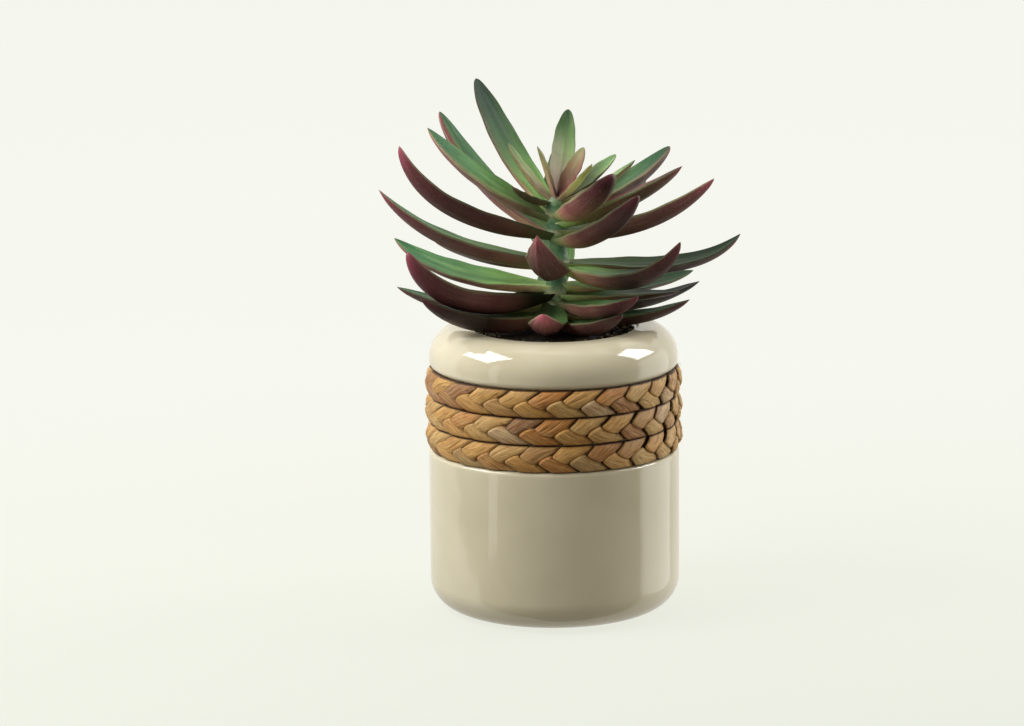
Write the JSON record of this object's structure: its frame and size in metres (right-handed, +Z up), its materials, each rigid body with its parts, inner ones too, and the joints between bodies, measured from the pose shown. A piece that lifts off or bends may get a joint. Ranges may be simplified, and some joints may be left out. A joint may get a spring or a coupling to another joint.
{
  "type": "potted echeveria",
  "caption": "Spear-leaved rosette succulent on a short stem in a round glazed pot with plaited fibre bands round its waist.",
  "frame": {"origin": "middle of the pot's flat foot, on the surface that it stands on", "axes": "+Z up along the pot's axis, -Y towards the front, +X to the right"},
  "size_m": [0.1792, 0.1292, 0.2605],
  "materials": {
    "glaze": "gloss",
    "planting_mix": "rough dark planting mix",
    "moss": "dry crumbs",
    "fibre_gold": "dry flat fibre",
    "fibre_brown": "dry flat fibre",
    "fibre_grey": "dry flat fibre",
    "stem": "smooth living stem",
    "leaf": "smooth waxy leaf, green above and wine red below",
    "young_leaf": "smooth waxy leaf, pale green and pink"
  },
  "bodies": {
    "root": {"leaf_middle_back": "leaf", "leaf_middle_back_left": "leaf", "leaf_middle_back_right": "leaf", "leaf_middle_front_right": "leaf", "leaf_middle_left": "leaf", "leaf_middle_right": "leaf", "leaf_outer_back": "leaf", "leaf_outer_back_left": "leaf", "leaf_outer_back_right": "leaf", "leaf_outer_front": "leaf", "leaf_outer_front_right": "leaf", "leaf_outer_left": "leaf", "leaf_outer_right": "leaf", "leaf_rim_back": "leaf", "leaf_rim_back_left": "leaf", "leaf_rim_back_right": "leaf", "leaf_rim_front": "leaf", "leaf_rim_front_left": "leaf", "leaf_rim_front_right": "leaf", "leaf_rim_left": "leaf", "leaf_rim_right": "leaf", "leaf_rim_right_back": "leaf", "leaf_skirt_back": "leaf", "leaf_skirt_back_left": "leaf", "leaf_skirt_front_left": "leaf", "leaf_skirt_front_right": "leaf", "leaf_skirt_left": "leaf", "leaf_skirt_right": "leaf", "leaf_skirt_right_back": "leaf", "leaf_upper_back": "leaf", "leaf_upper_back_left": "leaf", "leaf_upper_back_right": "leaf", "leaf_upper_front_right": "leaf", "leaf_upper_left": "leaf", "leaf_upper_right": "leaf", "leaf_young_back_right": "young_leaf", "leaf_young_centre": "young_leaf", "leaf_young_far_right": "young_leaf", "leaf_young_front_left": "young_leaf", "leaf_young_left": "young_leaf", "leaf_young_long_right": "young_leaf", "leaf_young_right": "young_leaf", "leaf_young_upright": "young_leaf", "moss": "moss", "plait_1_strand_1": "fibre_gold", "plait_1_strand_2": "fibre_brown", "plait_1_strand_3": "fibre_grey", "plait_2_strand_1": "fibre_gold", "plait_2_strand_2": "fibre_brown", "plait_2_strand_3": "fibre_grey", "plait_3_strand_1": "fibre_gold", "plait_3_strand_2": "fibre_brown", "plait_3_strand_3": "fibre_grey", "planting_mix": "planting_mix", "pot": "glaze", "stem": "stem"}
  },
  "joints": []
}
